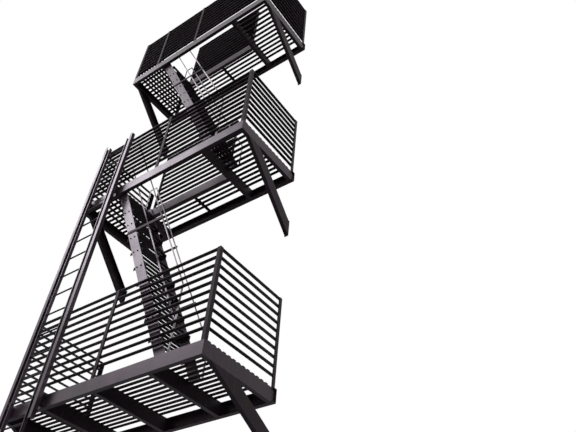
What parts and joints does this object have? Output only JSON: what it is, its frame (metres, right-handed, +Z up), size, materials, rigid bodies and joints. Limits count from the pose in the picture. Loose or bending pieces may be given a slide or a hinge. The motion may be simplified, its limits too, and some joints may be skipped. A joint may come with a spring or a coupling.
{
  "type": "fire escape stair",
  "caption": "Wall-hung steel fire escape: stacked slatted balconies on diagonal braces, steep open-tread stairs, flat-bar guards, rod handrails and a drop ladder that slides down at one end.",
  "frame": {"origin": "middle of the back face of the lowest balcony's wall ledger, on the face of the wall", "axes": "+X along the wall to the right as seen from the street, +Y into the wall, +Z up"},
  "size_m": [2.89, 1.14, 7.787],
  "materials": {
    "frame_steel": "weathered satin",
    "rail_steel": "weathered satin",
    "slat_steel": "worn matt"
  },
  "bodies": {
    "stair": {"lower_fascia": "frame_steel", "lower_ledger": "frame_steel", "lower_end_channels": "frame_steel", "lower_cross_channels": "frame_steel", "lower_floor": "slat_steel", "lower_front_guard": "rail_steel", "lower_right_guard": "rail_steel", "lower_left_guard": "rail_steel", "lower_braces": "frame_steel", "middle_fascia": "frame_steel", "middle_ledger": "frame_steel", "middle_end_channels": "frame_steel", "middle_cross_channels": "frame_steel", "middle_trimmer": "frame_steel", "middle_floor_wall": "slat_steel", "middle_floor_right": "slat_steel", "middle_floor_left": "slat_steel", "middle_front_guard": "rail_steel", "middle_right_guard": "rail_steel", "middle_left_guard": "rail_steel", "middle_braces": "frame_steel", "upper_fascia": "frame_steel", "upper_ledger": "frame_steel", "upper_end_channels": "frame_steel", "upper_cross_channels": "frame_steel", "upper_trimmer": "frame_steel", "upper_floor_wall": "slat_steel", "upper_floor_right": "slat_steel", "upper_floor_left": "slat_steel", "upper_front_guard": "rail_steel", "upper_right_guard": "rail_steel", "upper_left_guard": "rail_steel", "upper_braces": "frame_steel", "lower_stringers": "frame_steel", "lower_treads": "slat_steel", "lower_street_handrail": "rail_steel", "lower_wall_handrail": "rail_steel", "upper_stringers": "frame_steel", "upper_treads": "slat_steel", "upper_street_handrail": "rail_steel", "upper_wall_handrail": "rail_steel", "ladder_guides": "frame_steel", "ladder_brackets": "frame_steel"},
    "drop_ladder": {"ladder_stiles": "frame_steel", "ladder_rungs": "rail_steel"}
  },
  "joints": [
    {"name": "ladder_slide", "type": "slide", "parent": "stair", "child": "drop_ladder", "axis": [0, 0, -1], "range_m": [0, 3]}
  ]
}
